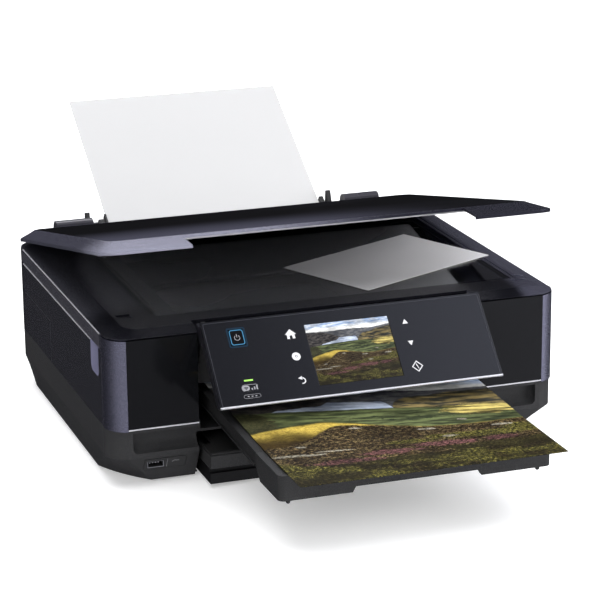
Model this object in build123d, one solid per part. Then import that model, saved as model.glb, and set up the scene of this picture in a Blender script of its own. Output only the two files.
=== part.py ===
"""A compact A4 inkjet printer with a flatbed scanner, a tilting touch panel and two paper cassettes.

Millimetres. While a piece is shaped, x runs to the right, y from the front face to the back and z up from
the table. Every piece is then moved by ROW_SHIFT, so that the part's origin is the middle of its footprint.
"""

import math
import os

from build123d import *

os.makedirs("parts", exist_ok=True)

# Body
WIDTH = 390.0
HALF = WIDTH / 2
REAR = 321.0  # rear wall of the body
HUMP_REAR = 341.0  # rear wall of the hump that holds the duplex cover
HUMP_HALF = 150.0
TOWER_HALF = 121.0  # the hump's taller middle, with the rear paper slot
WALL = 2.5
CORNER = (15.0, 24.0)  # how far each rounded plan corner reaches along the front and along the side
CORNER_BULGE = 5.8
BAY_HALF = 121.0  # the front opening for the tray and the cassettes

# Heights
FOOT_TOP = 2.0
BEVEL_TOP = 27.0  # the base narrows below this height
BASE_TOP = 51.0
BASE_FRONT, FOOT_FRONT = 2.5, 17.0  # the base's front, above the bevel and at its underside
SIDE_TOP = 114.0
SPLIT = 115.3  # underside of the scanner unit
SCANNER_WALL_TOP = 127.2
TRIM = 1.0
FRAME_LOW, FRAME_TOP = 128.2, 132.0
LID_LOW, LID_RIM_TOP, LID_TOP = 128.4, 131.0, 137.6
TOWER_TOP = 128.0

# Paper path
PATH_Z = 84.0
FEED_Y, EXIT_Y = 178.0, 106.0
FEED_R, EXIT_R = 6.0, 5.5
FEED_Z = PATH_Z - FEED_R - 0.2
GEAR_TEETH, PINION_TEETH = 36, 12  # module 1, so the feed, idler and exit gears are a row 36 mm apart
GEAR_X = (-180.0, -174.0)
IDLER_Y = (FEED_Y + EXIT_Y) / 2
PINION_Z = FEED_Z - (GEAR_TEETH + PINION_TEETH) / 2  # straight below the feed gear
PINCH_Z = PATH_Z + 3.9
BEAM_Y = 194.0
SHEET = 0.4  # thickness given to one sheet of paper
CHASSIS_HALF = 166.0

# Carriage
CARRIAGE_X, CARRIAGE_HALF = 130.0, 32.0  # parked over the capping station
RAIL_Y, RAIL_Z, RAIL_R = 168.0, 99.0, 4.0
PULLEY_X, PULLEY_Y, PULLEY_R = 150.0, 185.0, 6.0

# Output tray: its rails fall towards the front
TRAY_FRONT, TRAY_HALF, TRAY_REAR = -170.0, 111.0, 30.0
CAP_LOW, CAP_TOP, CAP_BACK = 44.5, 64.7, -114.0
RAIL_TOP_AT_CAP, RAIL_SLOPE = 64.9, 0.0354
PRINT_LEFT, PRINT_WIDTH, PRINT_LENGTH = -104.0, 215.9, 279.4

# Hinges, as (y, z)
LID_AXIS = (328.0, 134.0)
SCANNER_AXIS = (327.0, 130.0)
LID_OPEN = 12.0  # degrees, at rest
PANEL_AXIS = (6.0, 130.0)
SCAN_RAIL = (160.0, 120.4)

# Control panel, at rest tilted back from the vertical
PANEL_TILT = 44.0
PANEL_HALF, PANEL_LENGTH = 120.0, 77.0
PANEL_TOP = (-3.0, 137.0)
BUTTON_AT = (-92.9, 16.5)  # to the right, and down from the panel's top edge

# Rear feed, a slanted plane through the slot
FEED_LEAN = 57.0
FEED_ORIGIN = (363.3, 127.7)
REAR_SHEET_X, REAR_SHEET_HALF = 6.0, 105.0
REAR_SHEET_LOW, REAR_SHEET_TOP = -80.0, 161.4  # along the slant, from FEED_ORIGIN

FRONT_MOST = -198.0  # tip of the printed sheet
LEAN = math.radians(FEED_LEAN)
REAR_MOST = FEED_ORIGIN[0] + REAR_SHEET_TOP * math.sin(LEAN) - SHEET / 2 * math.cos(LEAN)
ROW_SHIFT = -(FRONT_MOST + REAR_MOST) / 2


def block(x0, x1, y0, y1, z0, z1):
    """A box between two corners."""
    return Pos((x0 + x1) / 2, (y0 + y1) / 2, (z0 + z1) / 2) * Box(x1 - x0, y1 - y0, z1 - z0)


def rod(x0, x1, y, z, radius):
    """A cylinder along x."""
    return Pos((x0 + x1) / 2, y, z) * Rot(0, 90, 0) * Cylinder(radius, x1 - x0)


def prism(points, x0, x1):
    """A closed outline of (y, z) points, drawn out along x."""
    face = Face(Wire.make_polygon([Vector(x0, y, z) for y, z in points], close=True))
    return extrude(face, amount=x1 - x0, dir=(1, 0, 0))


def mirrored(shape):
    return mirror(shape, about=Plane.YZ)


def both(shape):
    """The shape and its mirror image."""
    return shape + mirrored(shape)


def turned(shape, axis, degrees):
    """Turned about a hinge line along x at (y, z); a positive angle lifts what lies in front of it."""
    y, z = axis
    return Pos(0, y, z) * Rot(-degrees, 0, 0) * Pos(0, -y, -z) * shape


def plan(
    z, inset=0.0, side=HALF, front=0.0, rear=REAR, corner=CORNER, rear_corner=CORNER, bulge=CORNER_BULGE
):
    """A level face: flat sides, and corners that curve into the sides and meet the front at a crease."""
    side, front, rear = side - inset, front + inset, rear - inset

    def bend(x_out, y_side, x_front, y_front):
        """The middle of a corner's arc, pushed out from its chord."""
        dx, dy = x_out - x_front, y_side - y_front
        length = math.hypot(dx, dy)
        push = bulge / length
        sign = 1 if dy > 0 else -1
        return ((x_out + x_front) / 2 + abs(dy) * push, (y_side + y_front) / 2 - sign * dx * push)

    near = bend(side, front + corner[1], side - corner[0], front)
    far = bend(side, rear - rear_corner[1], side - rear_corner[0], rear)
    right = [
        ((side - corner[0], front), near, (side, front + corner[1])),
        ((side, rear - rear_corner[1]), far, (side - rear_corner[0], rear)),
    ]
    arcs = [ThreePointArc(*[(x, y, z) for x, y in arc]) for arc in right]
    arcs += [ThreePointArc(*[(-x, y, z) for x, y in reversed(arc)]) for arc in reversed(right)]
    ends = [(arc @ 1, following @ 0) for arc, following in zip(arcs, arcs[1:] + arcs[:1])]
    return Face(Wire(arcs + [Line(start, end) for start, end in ends]))


def raised(z0, z1, **shape):
    """The plan drawn up from z0 to z1."""
    return extrude(plan(z0, **shape), amount=z1 - z0, dir=(0, 0, 1))


def shell(z0, z1, wall=WALL, **shape):
    """The plan's outer wall between two heights."""
    return raised(z0, z1, **shape) - raised(z0 - 1, z1 + 1, inset=wall, **shape)


def panel_block(x0, x1, down0, down1, out0, out1):
    """A box in the tilted control panel's own directions: right, down its face, and out of its face."""
    tilt = math.radians(PANEL_TILT)
    outward = (0, -math.cos(tilt), math.sin(tilt))
    face = Plane(origin=(0, *PANEL_TOP), x_dir=(1, 0, 0), z_dir=outward)
    return face.location * block(x0, x1, -down1, -down0, out0, out1)


def feed_block(x0, x1, up0, up1, out0, out1):
    """A box in the rear feed's own directions: right, up the slant, and out of the sheet's face."""
    outward = (0, -math.cos(LEAN), math.sin(LEAN))
    face = Plane(origin=(0, *FEED_ORIGIN), x_dir=(1, 0, 0), z_dir=outward)
    return face.location * block(x0, x1, up0, up1, out0, out1)


def gear(teeth, x0, x1, y, z, phase=0.0):
    """A spur gear of module 1 along x. Phase turns it by that share of a tooth."""
    pitch = teeth / 2
    step = 2 * math.pi / teeth
    tooth = ((-0.95, -1.2), (-0.55, 0.0), (-0.28, 0.75), (0.28, 0.75), (0.55, 0.0), (0.95, -1.2))
    points = []
    for i in range(teeth):
        for across, out in tooth:
            radius = pitch + out
            angle = (i + phase) * step + across / radius
            points.append((y + radius * math.cos(angle), z + radius * math.sin(angle)))
    return prism(points, x0, x1)


# ---------------------------------------------------------------- base


def base_tray():
    foot = dict(
        side=190.0, front=FOOT_FRONT, rear=316.0, corner=(32.0, 48.0), rear_corner=(20.0, 30.0), bulge=3.0
    )
    waist = dict(front=BASE_FRONT, corner=(15.0, 23.5), bulge=5.6)
    outer = loft([plan(FOOT_TOP, **foot), plan(BEVEL_TOP, **waist)], ruled=True)
    outer += raised(BEVEL_TOP, BASE_TOP, **waist)
    outer += block(-HUMP_HALF, HUMP_HALF, REAR - 20, HUMP_REAR, FOOT_TOP, BASE_TOP)
    floor = FOOT_TOP + WALL
    hollow = raised(floor, BEVEL_TOP + 1, inset=WALL, **foot)
    hollow += raised(BEVEL_TOP, BASE_TOP + 1, inset=WALL, **waist)
    hollow += block(-HUMP_HALF + WALL, HUMP_HALF - WALL, 300, HUMP_REAR - WALL, floor, BASE_TOP + 1)
    body = outer - hollow
    body += both(block(BAY_HALF - WALL, BAY_HALF + WALL, 6, 310, FOOT_TOP, BASE_TOP) & outer)
    body += both(block(BAY_HALF - 1.5, 178, 2.5, 19, 29.5, BASE_TOP))
    bay = block(-BAY_HALF, BAY_HALF, -30, 302, -1, BASE_TOP + 1)
    body -= bay
    body += both(block(BAY_HALF - 3.5, BAY_HALF, 22, 302, FOOT_TOP, FOOT_TOP + 1.2))
    body -= both(hand_pocket())
    body -= port_plate_blank(0.0, 0.3) + block(-164.6, -149.4, 0, 40, 15.9, 22.5)
    return body


def hand_pocket():
    """The scooped hollow beside the bay, open to it, with a rounded floor and a rounded outer end."""
    hollow = block(BAY_HALF - 4, 176, -3, 11, 31, 48.4)
    floor = hollow.edges().filter_by(Axis.X).sort_by(Axis.Y)[-2:].sort_by(Axis.Z)[:1]
    hollow = fillet(floor, 8.5)
    end = hollow.faces().sort_by(Axis.X)[-1].edges().sort_by(Axis.Z)[:-1]
    end = [edge for edge in end if edge.center().Y > -2.9]
    return fillet(end, 4.5)


def bevel_y(z):
    """The base's front face below BEVEL_TOP."""
    return BASE_FRONT + (BEVEL_TOP - z) * (FOOT_FRONT - BASE_FRONT) / (BEVEL_TOP - FOOT_TOP)


def port_plate_blank(proud, around=0.0):
    low, high, thick = 13.9 - around, 24.5 + around, 1.6
    points = [
        (bevel_y(high) - proud, high),
        (bevel_y(low) - proud, low),
        (bevel_y(low) + thick, low),
        (bevel_y(high) + thick, high),
    ]
    plate = prism(points, -166.4 - around, -131.4 + around)
    corners = block(-166.4 - around, -131.4 + around, 0, 40, low, high).edges().filter_by(Axis.Y)
    return plate & fillet(corners, 2.0)


def port_plate():
    return port_plate_blank(0.3) - block(-163.9, -150.1, 0, 40, 16.4, 22.0)


def usb_socket():
    y0 = bevel_y(22.0) + 1.0
    case = block(-163.9, -150.1, y0, y0 + 16, 16.4, 22.0)
    case -= block(-163.4, -150.6, y0 - 1, y0 + 15, 17.0, 21.4)
    tongue = block(-162.2, -151.8, y0 + 5, y0 + 15.5, 19.4, 21.0)
    return case + tongue


def usb_port():
    """The small plate in the sloped front and the socket behind it."""
    return port_plate() + usb_socket()


def side_panel():
    """The left side wall from the pillar to the hump, with the hand recess for lifting the scanner unit."""
    wall = shell(BASE_TOP, SIDE_TOP) & block(-HALF - 1, -HUMP_HALF, 27.4, REAR + 1, BASE_TOP, SIDE_TOP)
    liner = block(-HALF + 1, -182, 30, 60, 87, SIDE_TOP)
    scoop = block(-HALF - 5, -184, 32, 58, 89, SIDE_TOP + 9)
    scoop = fillet(scoop.edges().filter_by(Axis.X).sort_by(Axis.Z)[:2], 6.0)
    return wall + liner - scoop


def rear_inlet_hole():
    return block(155, 177, REAR - 5, REAR + 1, 60, 76)


def power_inlet():
    case = block(155.2, 176.8, REAR - 16, REAR + 0.6, 60.2, 75.8)
    mouth = fillet(block(157.5, 174.5, REAR - 12, REAR + 2, 63, 73).edges().filter_by(Axis.Y), 4.0)
    pins = [Pos(166 + dx, REAR - 8, 68) * Rot(90, 0, 0) * Cylinder(1.2, 11) for dx in (-3.6, 3.6)]
    return case - mouth + pins[0] + pins[1]


def rear_panel():
    """The hump's walls, with the rear paper slot in the tower and the duplex cover's opening."""
    low_top = 105.0
    outer = block(-HUMP_HALF, HUMP_HALF, REAR, HUMP_REAR, BASE_TOP, low_top)
    outer += block(-TOWER_HALF, TOWER_HALF, REAR + 3.5, HUMP_REAR, low_top - 1, TOWER_TOP)
    outer = chamfer(outer.edges().filter_by(Axis.X).sort_by(Axis.Z)[-1:], 1.0)
    inner_back = HUMP_REAR - WALL
    outer -= block(-HUMP_HALF + WALL, HUMP_HALF - WALL, REAR - 1, inner_back, BASE_TOP - 1, low_top - WALL)
    outer -= block(-TOWER_HALF + WALL, TOWER_HALF - WALL, REAR + 6, inner_back, 96, TOWER_TOP - WALL)
    outer -= block(-TOWER_HALF + WALL, TOWER_HALF - WALL, REAR - 1, REAR + 7, 96, 109)
    outer -= block(-118, 118, inner_back - 1, HUMP_REAR + 1, 109.5, 121)
    outer -= block(-100.3, 100.3, inner_back - 1, HUMP_REAR + 1, 55, 98)
    return outer


def duplex_cover():
    """The cover that pulls off the back, with the turning guide on its inside."""
    plate = block(-100, 100, HUMP_REAR - WALL + 0.2, HUMP_REAR, 55.3, 97.7)
    guide = block(-96, 96, REAR + 4, HUMP_REAR - WALL + 0.2, 60, 93)
    guide -= Pos(0, REAR + 1, 76.5) * Rot(0, 90, 0) * Cylinder(11, 200)
    grips = both(fillet(block(70, 92, HUMP_REAR - 2, HUMP_REAR + 1, 70, 84).edges().filter_by(Axis.Y), 3.0))
    return plate + guide - grips


def front_panel():
    """The left glossy front panel."""
    return block(-HALF + CORNER[0], -BAY_HALF - 0.4, 0, 2.4, 53.2, 127)


def front_trim():
    """The bright line under the left front panel."""
    return block(-HALF + CORNER[0], -BAY_HALF - 0.4, -0.3, 2.4, 52, 53)


def corner_pillar():
    """The left front corner, a tall curved cover beside the front panel."""
    wall = shell(49.5, 127, wall=3.0) & block(-HALF - 1, -HALF + CORNER[0] - 0.3, -1, 27, BASE_TOP, 127)
    return wall


def front_bulkhead():
    """The wall behind the control panel, its side returns and the two arms that carry the panel."""
    wall = block(-BAY_HALF - 45, BAY_HALF + 45, 22, 24.5, 78, 113)
    returns = block(BAY_HALF, BAY_HALF + WALL, 4, 24, 53.2, 113)
    ledge = block(BAY_HALF, 176, 4, 24, 110.5, 113)
    post = block(172, 176, 4, 24, 53.2, 113)
    foot = block(BAY_HALF, 176, 4, 24, 53.2, 55.7)
    y, z = PANEL_AXIS
    points = [(24, 96), (24, 113), (19, 118), (y + 4, z + 2), (y - 4, z), (y - 3.5, z - 4), (18, 96)]
    arm = prism(points, 113, 116)
    arm += rod(113, 116, y, z, 4.5)
    arm -= rod(112, 117, y, z, 2.05)
    return wall + both(returns + ledge + post + foot) + both(arm)


def tray_deck():
    """The level floor between the cassette bay and the output tray."""
    deck = block(-BAY_HALF + 0.3, BAY_HALF - 0.3, 12, 300, 40.5, 42.5)
    ribs = both(block(BAY_HALF - 4, BAY_HALF - 0.3, 12, 300, 42.5, 50.5))
    return deck + ribs


def chassis():
    """The pressed steel frame that carries the rollers, the rail and the idler pulley."""
    plate = block(CHASSIS_HALF, CHASSIS_HALF + 1.5, 92, 220, 52, 112)
    plate -= rod(160, 170, FEED_Y, FEED_Z, 4.05) + rod(160, 170, EXIT_Y, FEED_Z, 3.05)
    plate -= rod(160, 170, FEED_Y, PINCH_Z, 2.05) + rod(160, 170, FEED_Y, PINION_Z, 1.2)
    beam = block(-CHASSIS_HALF, CHASSIS_HALF, BEAM_Y, BEAM_Y + 1.5, 84, 112)
    for x in range(-120, 121, 60):
        beam -= block(x - 12, x + 12, BEAM_Y - 1, BEAM_Y + 3, 90, 94)
    lip = block(-CHASSIS_HALF, CHASSIS_HALF, BEAM_Y + 1.5, 218, 110.5, 112)
    idler_pin = rod(-183, -CHASSIS_HALF - 1, IDLER_Y, FEED_Z, 2.0)
    pulley_pin = Pos(-PULLEY_X, PULLEY_Y, 101.5) * Cylinder(1.5, 14)
    bracket = block(-PULLEY_X - 5, -PULLEY_X + 5, PULLEY_Y - 3, BEAM_Y, 107.5, 109)
    return both(plate) + beam + lip + idler_pin + pulley_pin + bracket


def carriage_rail():
    return rod(-CHASSIS_HALF, CHASSIS_HALF, RAIL_Y, RAIL_Z, RAIL_R)


def carriage_belt():
    """A flat loop round both pulleys."""
    gap = 0.3
    inside = PULLEY_R + gap
    outer = SlotCenterToCenter(2 * PULLEY_X, 2 * (inside + 1))
    inner = SlotCenterToCenter(2 * PULLEY_X, 2 * inside)
    return Pos(0, PULLEY_Y, 98) * extrude(outer - inner, amount=5)


def pulley(x):
    wheel = Pos(x, PULLEY_Y, 97.2) * extrude(Circle(PULLEY_R), amount=6.6)
    wheel += Pos(x, PULLEY_Y, 103.8) * extrude(Circle(PULLEY_R + 1.6), amount=0.8)
    wheel += Pos(x, PULLEY_Y, 96.4) * extrude(Circle(PULLEY_R + 1.6), amount=0.8)
    return wheel - Pos(x, PULLEY_Y, 90) * extrude(Circle(1.55), amount=20)


def drive_motors():
    """The paper motor at the left with the pinion's shaft, and the carriage motor under its pulley."""
    paper = rod(-CHASSIS_HALF, -142, FEED_Y, PINION_Z, 10) + rod(-181, -CHASSIS_HALF, FEED_Y, PINION_Z, 1.0)
    carriage = Pos(PULLEY_X, PULLEY_Y, 62) * Cylinder(11, 20)
    carriage += Pos(PULLEY_X, PULLEY_Y, 88) * Cylinder(1.5, 34)
    carriage += block(PULLEY_X, CHASSIS_HALF, PULLEY_Y - 9, PULLEY_Y + 9, 50.4, 52)
    return paper + carriage


def platen():
    plate = block(-113, 113, 116, 168, 74, 80)
    for x in range(-105, 106, 30):
        plate += block(x - 1, x + 1, 116, 166, 80, 83)
    return plate + both(block(113, CHASSIS_HALF, 164.5, 168.5, 74, 78))


def feed_roller():
    """The grit roller and its drive gear."""
    roller = rod(-182, 170, FEED_Y, FEED_Z, 4.0) + rod(-110, 113, FEED_Y, FEED_Z, FEED_R)
    return roller + drive_gear(FEED_Y, 0.0)


def pinch_rollers():
    axle = rod(-169, 169, FEED_Y, PINCH_Z, 2.0)
    for x in range(-90, 91, 36):
        axle += rod(x - 8, x + 8, FEED_Y, PINCH_Z, 3.5)
    return axle


def exit_roller():
    shaft = rod(-182, 170, EXIT_Y, FEED_Z, 3.0)
    for x in range(-90, 91, 36):
        shaft += rod(x - 7, x + 7, EXIT_Y, FEED_Z, EXIT_R)
    return shaft + drive_gear(EXIT_Y, 0.0)


def idler_gear():
    return drive_gear(IDLER_Y, 0.5) - rod(-190, -170, IDLER_Y, FEED_Z, 2.05)


def drive_gear(y, phase):
    blank = gear(GEAR_TEETH, *GEAR_X, y, FEED_Z, phase)
    for i in range(6):
        angle = math.radians(60 * i + 30)
        blank -= rod(-190, -170, y + 11 * math.cos(angle), FEED_Z + 11 * math.sin(angle), 3.2)
    return blank


def motor_pinion():
    pinion = gear(PINION_TEETH, *GEAR_X, FEED_Y, PINION_Z, 0.5)
    return pinion - rod(-190, -170, FEED_Y, PINION_Z, 1.05)


def print_carriage():
    """The cradle that carries the cartridges over the platen, on a sleeve that runs along the rail."""
    x0, x1 = CARRIAGE_X - CARRIAGE_HALF, CARRIAGE_X + CARRIAGE_HALF
    cradle = block(x0, x1, 112.5, 162, 86, 104) - block(x0 + 2.4, x1 - 2.4, 115, 160, 88.5, 120)
    cradle += block(x0, x1, 160, 176, 93, 105)
    cradle += block(x0, x1, 157.5, 162, 88, 112.5)
    cradle += block(CARRIAGE_X - 12, CARRIAGE_X + 12, 126, 154, 84.8, 86)
    cradle += block(x0, x0 + 2.4, 140, 162, 100, 112.5) + block(x1 - 2.4, x1, 140, 162, 100, 112.5)
    return cradle - rod(x0 - 1, x1 + 1, RAIL_Y, RAIL_Z, RAIL_R + 0.05)


def ink_cartridges():
    """Five narrow cartridges side by side."""
    group = None
    count, wide, gap = 5, 10.4, 1.2
    first = CARRIAGE_X - (count * wide + (count - 1) * gap) / 2
    for i in range(count):
        x0 = first + i * (wide + gap)
        tank = block(x0, x0 + wide, 116, 156.5, 88.8, 108)
        tank = chamfer(tank.edges().filter_by(Axis.X).group_by(Axis.Z)[-1], 3.0)
        tank += block(x0 + 2, x0 + wide - 2, 116.5, 121, 107, 111)
        group = tank if group is None else group + tank
    return group


def cap_station():
    """The capping cup and wiper under the parked carriage, on the pump that stands on the base."""
    bed = block(114, 150, 118, 164, 60, 78) + block(126, 150, 120, 162, FOOT_TOP + WALL, 60)
    cup = block(118, 142, 124, 158, 78, 84.4) - block(120, 140, 126, 156, 80, 90)
    wiper = block(115, 116.4, 126, 156, 78, 84.6)
    return bed + cup + wiper


def power_supply():
    case = fillet(block(128, 180, 185, 285, FOOT_TOP + WALL, 45).edges().filter_by(Axis.Y), 3.0)
    for y in range(195, 276, 10):
        case -= block(126, 130, y, y + 4, 15, 38)
    return case


def main_board():
    board = block(-178, -176.4, 222, 312, 54, 108)
    parts = ((230, 62, 22, 22, 3), (262, 60, 14, 10, 2), (284, 66, 16, 30, 8), (232, 92, 60, 7, 6))
    for y0, z0, wide, tall, deep in parts:
        board += block(-176.4, -176.4 + deep, y0, y0 + wide, z0, z0 + tall)
    for y in (228, 290):
        for z in (60, 102):
            board += rod(-HALF + WALL, -178, y, z, 2.5)
    return board


def rear_feed_chute():
    """The slanted guide under the rear sheet, inside the body."""
    plate = feed_block(-114, 114, -78, -33.5, -3.4, -1.2)
    cheeks = both(feed_block(114, 116, -78, -33.5, -3.4, 4.0))
    return plate + cheeks


def screws():
    """Case screws, their heads in the base's underside and the rear wall."""
    group = None
    spots = [(x, y) for x in (-172, 172) for y in (105, 270)]
    for x, y in spots:
        head = Pos(x, y, FOOT_TOP - 0.6) * Cylinder(3.2, 1.2)
        group = head if group is None else group + head
    for x in (-140, 140):
        for z in (60, 98):
            group += Pos(x, HUMP_REAR + 0.6, z) * Rot(90, 0, 0) * Cylinder(3.2, 1.2)
    return group


def feet():
    pads = [Pos(x, y, FOOT_TOP / 2) * Cylinder(9, FOOT_TOP) for x in (-150, 150) for y in (46, 290)]
    return pads[0] + pads[1] + pads[2] + pads[3]


def side_trim(z, front):
    """A bright strip along the left side."""
    return block(-HALF - 0.25, -HALF + 1.6, front, REAR - CORNER[1], z, z + TRIM)


# ---------------------------------------------------------------- paper


def rail_top(y):
    return RAIL_TOP_AT_CAP + RAIL_SLOPE * (y - CAP_BACK)


def tray_plate():
    """The output tray's floor and the two rails beside it."""
    rear, front = TRAY_REAR, TRAY_FRONT + 4
    tail = rear + 30
    floor = [(y, rail_top(y) - drop) for y, drop in ((front, 11), (tail, 11), (tail, 8.5), (front, 8.5))]
    plate = prism(floor, -TRAY_HALF + 5, TRAY_HALF - 5)
    rail = [(y, rail_top(y) - drop) for y, drop in ((CAP_BACK, 11), (rear, 11), (rear, 0), (CAP_BACK, 0))]
    corners = ((CAP_BACK, 11), (rear, 11), (rear, 9.6), (CAP_BACK, 9.6))
    flange = [(y, rail_top(y) - drop) for y, drop in corners]
    ledge = [(rear, rail_top(rear)), (CAP_BACK, RAIL_TOP_AT_CAP), (front, CAP_TOP)]
    ledge = [(y, z - 0.5) for y, z in ledge] + [(y, z - 2.0) for y, z in reversed(ledge)]
    plate += both(prism(ledge, TRAY_HALF - 20, TRAY_HALF - 5))
    plate += both(prism(rail, TRAY_HALF - 5, TRAY_HALF))
    plate += both(prism(flange, TRAY_HALF, TRAY_HALF + 1.4))
    return plate


def tray_cap():
    """The tray's front stop, a shallow U with a raised middle below."""
    outer = block(-TRAY_HALF, TRAY_HALF, TRAY_FRONT, CAP_BACK, CAP_LOW, CAP_TOP)
    front_corners = outer.edges().filter_by(Axis.Z).sort_by(Axis.Y)[:2]
    outer = fillet(front_corners, 5.0)
    outer = chamfer(outer.edges().filter_by(Axis.X).sort_by(Axis.Z)[:2].sort_by(Axis.Y)[-1:], 10.0)
    outer -= block(-TRAY_HALF + 5, TRAY_HALF - 5, TRAY_FRONT + 4, CAP_BACK + 1, CAP_LOW - 1, CAP_TOP + 1)
    corners = ((-55, 40), (-50, 49), (50, 49), (55, 40))
    arch = Wire.make_polygon([Vector(x, TRAY_FRONT - 1, z) for x, z in corners])
    return outer - extrude(Face(arch), amount=8, dir=(0, 1, 0))


def tray_pegs():
    peg = Pos(102, TRAY_FRONT + 6.5, CAP_LOW - 1.4) * Cylinder(1.8, 2.8)
    peg += Pos(102, TRAY_FRONT + 6.5, CAP_LOW - 2.8) * Sphere(1.8)
    shelf = block(97, 106, TRAY_FRONT + 4, TRAY_FRONT + 10, CAP_LOW, CAP_LOW + 2)
    return both(peg + shelf)


def printed_sheet():
    """A finished print lying on the rails, its front edge out over the cap."""
    rear, gap = FRONT_MOST + PRINT_LENGTH, 0.3
    top = [(rear, rail_top(rear)), (CAP_BACK, RAIL_TOP_AT_CAP), (FRONT_MOST, RAIL_TOP_AT_CAP + 0.2)]
    line = [(y, z + gap) for y, z in top]
    outline = line + [(y, z + SHEET) for y, z in reversed(line)]
    return prism(outline, PRINT_LEFT, PRINT_LEFT + PRINT_WIDTH)


def main_cassette():
    body = block(-117, 117, -14, 285, 3.6, 15.4)
    body -= block(-113, 113, -6, 281, 5.4, 17)
    body -= block(-118, 118, -15, -11.5, 12.6, 17)
    body -= block(-60, 60, -15, -8.5, 1, 6.5)
    return body


def cassette_guide():
    """The sliding edge guide inside the main cassette, set for A4 paper."""
    return block(105.4, 107.2, 60, 230, 5.6, 14.2) + block(80, 107.2, 130, 160, 5.6, 6.8)


def photo_cassette():
    body = block(-117, 117, -16, 175, 16.2, 28)
    body -= block(-113, 113, -8, 171, 18, 30)
    body -= block(-118, 118, -17, -12.5, 10, 17.2)
    body -= block(-45, 45, -17, -13.5, 17.2, 22)
    return body


def photo_cassette_cover():
    """The grey lid of the upper cassette, notched at its left and right."""
    cover = block(-116.5, 116.5, -15, 120, 28, 30.4)
    notch = block(-118, -108, 8, 40, 27, 31)
    notch = fillet(notch.edges().filter_by(Axis.Z).sort_by(Axis.X)[-2:], 4.0)
    cover -= both(notch)
    return chamfer(cover.edges().filter_by(Axis.X).group_by(Axis.Z)[-1].sort_by(Axis.Y)[:1], 0.8)


def rear_sheet():
    x0, x1 = REAR_SHEET_X - REAR_SHEET_HALF, REAR_SHEET_X + REAR_SHEET_HALF
    return feed_block(x0, x1, REAR_SHEET_LOW, REAR_SHEET_TOP, -SHEET / 2, SHEET / 2)


def rear_flap():
    """The opened cover of the rear slot: a paper rest with an ear at each side and the fixed edge guide."""
    rest = feed_block(-121, 121, -19, 2, -3.6, -1.0) + feed_block(-98, 98, 2, 28, -3.6, -1.0)
    ear = prism([(355, 120.3), (363.5, 125.6), (362, 139.0), (358.5, 139.4), (354.6, 130)], 117, 121)
    rest += both(ear)
    rails = both(feed_block(60, 63, -19, 28, -6.6, -3.6))
    arm = [(HUMP_REAR, 103), (HUMP_REAR, 108.8), (348.2, 116.0), (352.5, 117.2), (348, 107)]
    return rest + rails + both(prism(arm, 98, 112)) + feed_block(111.5, 115.5, -8, 4, -1.5, 3.5)


def paper_support():
    """The stay that pulls out from under the flap."""
    stay = feed_block(-59.6, 59.6, -17, 24, -6.2, -3.8)
    return stay + feed_block(-20, 20, 24, 27, -6.6, -3.8)


def sliding_edge_guide():
    fence = feed_block(-101.5, -99.6, -10, 6, -0.9, 5.0)
    return fence + feed_block(-107.5, -101.5, -8, 2, -0.9, 2.6)


# ---------------------------------------------------------------- control panel


def panel_housing():
    tapered = panel_block(-PANEL_HALF, PANEL_HALF, 1, PANEL_LENGTH - 2.2, -9, -1.6)
    tapered = chamfer(tapered.edges().filter_by(Axis.X).sort_by(Axis.Z)[:2].sort_by(Axis.Y)[-1:], 4.0)
    tapered -= panel_block(-PANEL_HALF + 3, PANEL_HALF - 3, 6, PANEL_LENGTH - 10, -7, 0)
    tapered += panel_block(-PANEL_HALF + 3, PANEL_HALF - 3, 6, PANEL_LENGTH - 10, -8.8, -7)
    for x0, x1 in ((109.6, 112.6), (116.4, 119.4)):
        lug = panel_block(x0, x1, -4.6, 12, -15.2, -9)
        tapered += both(lug - panel_block(x0 - 1, x1 + 1, -5, -1, -9.6, -5))
    tapered -= both(panel_block(112.6, 116.4, -6, 12, -16, -4))
    return tapered + both(rod(109.6, 119.4, *PANEL_AXIS, 2.0))


def panel_glass():
    """The glossy face, with a hole for the power button and a window for the display."""
    glass = panel_block(-PANEL_HALF, PANEL_HALF, 0, PANEL_LENGTH - 1.4, -1.6, 0)
    x, down = BUTTON_AT
    glass -= panel_block(x - 6.3, x + 6.3, down - 7.4, down + 7.4, -3, 1)
    return glass - panel_block(-35.5, 36.3, 11.7, 66.6, -3, 1)


def display():
    return panel_block(-35.1, 35.9, 12.1, 66.2, -3.4, -0.15)


def panel_trim():
    """The bright strip along the panel's lower edge."""
    return panel_block(-PANEL_HALF, PANEL_HALF, PANEL_LENGTH - 1.3, PANEL_LENGTH, -1.5, 0.2)


def power_button():
    x, down = BUTTON_AT
    cap = panel_block(x - 6.0, x + 6.0, down - 7.1, down + 7.1, -3.0, 0.3)
    return cap + panel_block(x - 3, x + 3, down - 3, down + 3, -4.4, -3.0)


# ---------------------------------------------------------------- scanner unit


def scanner_housing():
    """The scanner's lower shell, an open pan with lugs for the lid's hinge pins."""
    outer = raised(SPLIT, SCANNER_WALL_TOP) & block(-HALF, HALF, 27.4, REAR, SPLIT, SCANNER_WALL_TOP)
    inner = raised(SPLIT + 2, SCANNER_WALL_TOP + 1, inset=WALL)
    pan = outer - (inner & block(-HALF, HALF, 30, REAR - WALL, SPLIT, 140))
    y, z = LID_AXIS
    side = [(REAR - 1, 117), (REAR - 1, 126), (REAR + 0.9, 127), (REAR + 1.8, z), (y + 2, z - 5)]
    neck = prism(side, 131, 148)
    lug = neck + rod(131, 148, y, z, 6.2) - rod(130, 149, y, z, 2.56)
    rail = rod(-HALF + 1, HALF - 1, SCAN_RAIL[0], SCAN_RAIL[1], 2.0)
    return pan + both(lug) + rail + scanner_knuckles()


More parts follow.
